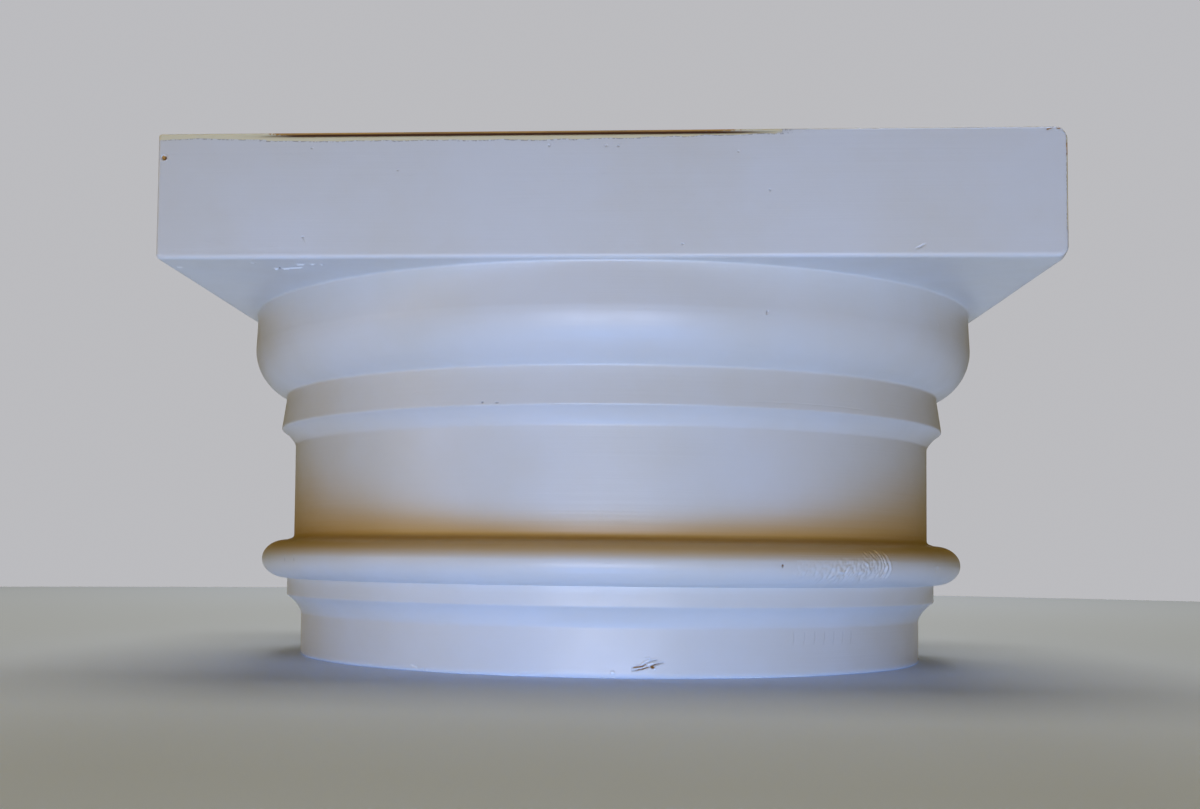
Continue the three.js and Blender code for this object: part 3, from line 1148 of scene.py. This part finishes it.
def add_camera(scene):
    """A camera at the photograph's place, angle and framing."""
    forward = Vector((
        math.sin(CAMERA_YAW) * math.cos(CAMERA_PITCH),
        math.cos(CAMERA_YAW) * math.cos(CAMERA_PITCH),
        math.sin(CAMERA_PITCH),
    ))
    level_right = Vector((math.cos(CAMERA_YAW), -math.sin(CAMERA_YAW), 0))
    level_up = level_right.cross(forward)
    right = math.cos(CAMERA_ROLL) * level_right + math.sin(CAMERA_ROLL) * level_up
    up = math.cos(CAMERA_ROLL) * level_up - math.sin(CAMERA_ROLL) * level_right
    data = bpy.data.cameras.new("camera")
    data.sensor_width = SENSOR_WIDTH
    data.lens = FOCAL_PIXELS / IMAGE_WIDTH * SENSOR_WIDTH
    data.shift_x = (IMAGE_WIDTH / 2 - CENTRE_X_PIXELS) / IMAGE_WIDTH
    data.shift_y = (CENTRE_Y_PIXELS - IMAGE_HEIGHT / 2) / IMAGE_WIDTH
    data.clip_start = 0.01
    data.clip_end = 50
    camera = bpy.data.objects.new("camera", data)
    scene.collection.objects.link(camera)
    rotation = camera.matrix_world.to_3x3()
    for column, axis in enumerate((right, up, -forward)):
        rotation.col[column] = axis
    camera.matrix_world = rotation.to_4x4()
    camera.location = [c * MM for c in CAMERA_PLACE]
    scene.camera = camera


# Each light: its name, azimuth and elevation in degrees, distance in metres, width and height in
# metres, watts and colour.
LIGHTS = (
    ("low_key", 2, -42, 1.15, (0.60, 0.30), 3.7, (0.04, 0.32, 1.0)),
    ("front_fill", 0, -14, 1.0, (0.55, 0.26), 4.3, (0.65, 0.73, 1.0)),
    ("left_fill", -62, 8, 1.7, (0.8, 0.6), 2.2, (1.0, 0.75, 0.46)),
    ("right_fill", 62, 8, 1.7, (0.8, 0.6), 0.5, (1.0, 0.50, 0.10)),
    ("overhead", 180, 80, 2.4, (1.6, 1.2), 18.0, (1.0, 0.93, 0.76)),
    ("back_fill", 180, 35, 2.0, (1.2, 0.8), 8.0, (0.95, 0.97, 1.0)),
    ("back_low", 180, -35, 1.4, (0.8, 0.5), 4.0, (0.80, 0.90, 1.0)),
)
LIT_HEIGHT = 0.11
FLOOR_RADIUS = 1.4
SURROUND = (0.50, 0.50, 0.52)
SURROUND_LIGHT = (0.098, 0.071, 0.006)


def add_soft_light(scene, name, azimuth, elevation, distance, size, power, light_colour):
    """A rectangular soft light, aimed at the middle of the capital from a direction."""
    side, lift = math.radians(azimuth), math.radians(elevation)
    direction = Vector((
        math.sin(side) * math.cos(lift), -math.cos(side) * math.cos(lift), math.sin(lift)
    ))
    data = bpy.data.lights.new(name, "AREA")
    data.shape = "RECTANGLE"
    data.size, data.size_y = size
    data.energy = power
    data.color = light_colour
    data.cycles.use_multiple_importance_sampling = False
    light = bpy.data.objects.new(name, data)
    light.location = Vector((0, 0, LIT_HEIGHT)) + direction * distance
    light.rotation_mode = "QUATERNION"
    light.rotation_quaternion = (-direction).to_track_quat("-Z", "Y")
    light.visible_camera = False
    scene.collection.objects.link(light)


def add_floor(scene, floor_colour):
    """A plain pale round floor that lets the low lights through."""
    mesh = bpy.data.meshes.new("floor")
    work = bmesh.new()
    bmesh.ops.create_circle(work, cap_ends=True, radius=FLOOR_RADIUS, segments=96)
    work.to_mesh(mesh)
    work.free()
    material = bpy.data.materials.new("floor_finish")
    material.use_nodes = True
    shader = material.node_tree.nodes["Principled BSDF"]
    shader.inputs["Base Color"].default_value = (*floor_colour, 1.0)
    shader.inputs["Roughness"].default_value = 0.9
    mesh.materials.append(material)
    floor = bpy.data.objects.new("floor", mesh)
    floor.visible_shadow = False
    scene.collection.objects.link(floor)


def set_world(scene, seen_colour, light_colour):
    """A plain pale surround to look at, with a dimmer warm light of its own."""
    world = bpy.data.worlds.new("studio")
    world.use_nodes = True
    tree = world.node_tree
    seen = tree.nodes["Background"]
    seen.inputs["Color"].default_value = (*seen_colour, 1.0)
    lit = node(tree, "ShaderNodeBackground")
    lit.inputs["Color"].default_value = (*light_colour, 1.0)
    path = node(tree, "ShaderNodeLightPath")
    mix = node(tree, "ShaderNodeMixShader")
    tree.links.new(path.outputs["Is Camera Ray"], mix.inputs["Fac"])
    tree.links.new(lit.outputs["Background"], mix.inputs[1])
    tree.links.new(seen.outputs["Background"], mix.inputs[2])
    tree.links.new(mix.outputs["Shader"], tree.nodes["World Output"].inputs["Surface"])
    scene.world = world


class CAPITAL_OT_stage(bpy.types.Operator):
    """Sets up the floor, the soft lights and the camera"""

    bl_idname = "capital.stage"
    bl_label = "Build stage"

    def execute(self, context):
        """Adds everything that isn't part of the capital."""
        scene = context.scene
        add_camera(scene)
        add_floor(scene, scene.capital_colours.floor)
        set_world(scene, SURROUND, SURROUND_LIGHT)
        for name, azimuth, elevation, distance, size, power, light_colour in LIGHTS:
            add_soft_light(scene, name, azimuth, elevation, distance, size, power, light_colour)
        scene.view_settings.view_transform = "Standard"
        return {"FINISHED"}


class CAPITAL_PT_panel(bpy.types.Panel):
    """Lists what can be built and the values to build it with"""

    bl_idname = "CAPITAL_PT_panel"
    bl_label = "Doric capital"
    bl_space_type = "VIEW_3D"
    bl_region_type = "UI"
    bl_category = "Capital"

    def draw(self, context):
        """Shows the operators, then the sizes and the colours."""
        column = self.layout.column()
        for operator in (CAPITAL_OT_build, CAPITAL_OT_stage):
            column.operator(operator.bl_idname)
        for group in (context.scene.capital_sizes, context.scene.capital_colours):
            box = self.layout.box()
            for name in group.__annotations__:
                box.prop(group, name)


CLASSES = (CapitalSizes, CapitalColours, CAPITAL_OT_build, CAPITAL_OT_stage, CAPITAL_PT_panel)


def register():
    """Registers the classes and hangs the values on the scene."""
    for item in CLASSES:
        bpy.utils.register_class(item)
    bpy.types.Scene.capital_sizes = PointerProperty(type=CapitalSizes)
    bpy.types.Scene.capital_colours = PointerProperty(type=CapitalColours)


def unregister():
    """Takes the values and the classes away again."""
    del bpy.types.Scene.capital_colours
    del bpy.types.Scene.capital_sizes
    for item in reversed(CLASSES):
        bpy.utils.unregister_class(item)


def main():
    """Builds the capital and its stage."""
    register()
    bpy.ops.capital.build()
    bpy.ops.capital.stage()


if __name__ == "__main__":
    main()
